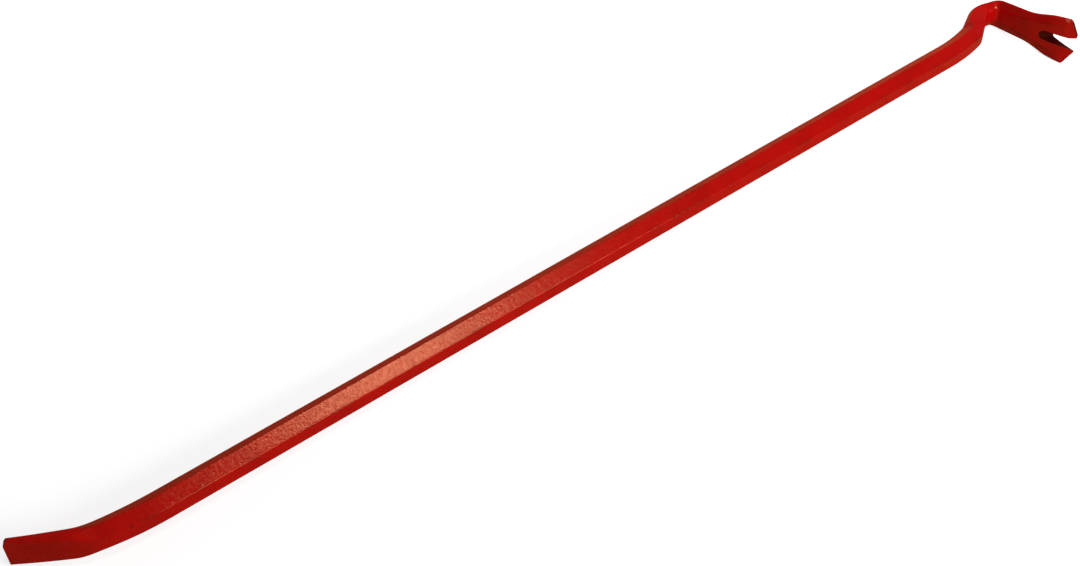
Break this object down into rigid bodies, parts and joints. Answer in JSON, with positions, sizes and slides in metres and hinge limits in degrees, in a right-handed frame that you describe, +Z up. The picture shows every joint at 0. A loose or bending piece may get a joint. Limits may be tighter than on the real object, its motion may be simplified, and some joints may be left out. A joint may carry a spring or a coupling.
{
  "type": "crowbar",
  "caption": "Red painted gooseneck crowbar forged from hexagon bar, with a curved chisel at one end and a flared nail-pulling claw at the other.",
  "frame": {"origin": "on the floor, under the middle of the bounding box of the bar as it lies at rest on its side", "axes": "+X along the shank from the chisel towards the claw, +Y towards the crown and away from the tines' tips, +Z up from the floor"},
  "size_m": [0.916, 0.0902, 0.0432],
  "materials": {
    "enamel": "semi-gloss red enamel over forged steel, a little worn at the tips"
  },
  "bodies": {
    "root": {"forged_bar": "enamel"}
  },
  "joints": []
}
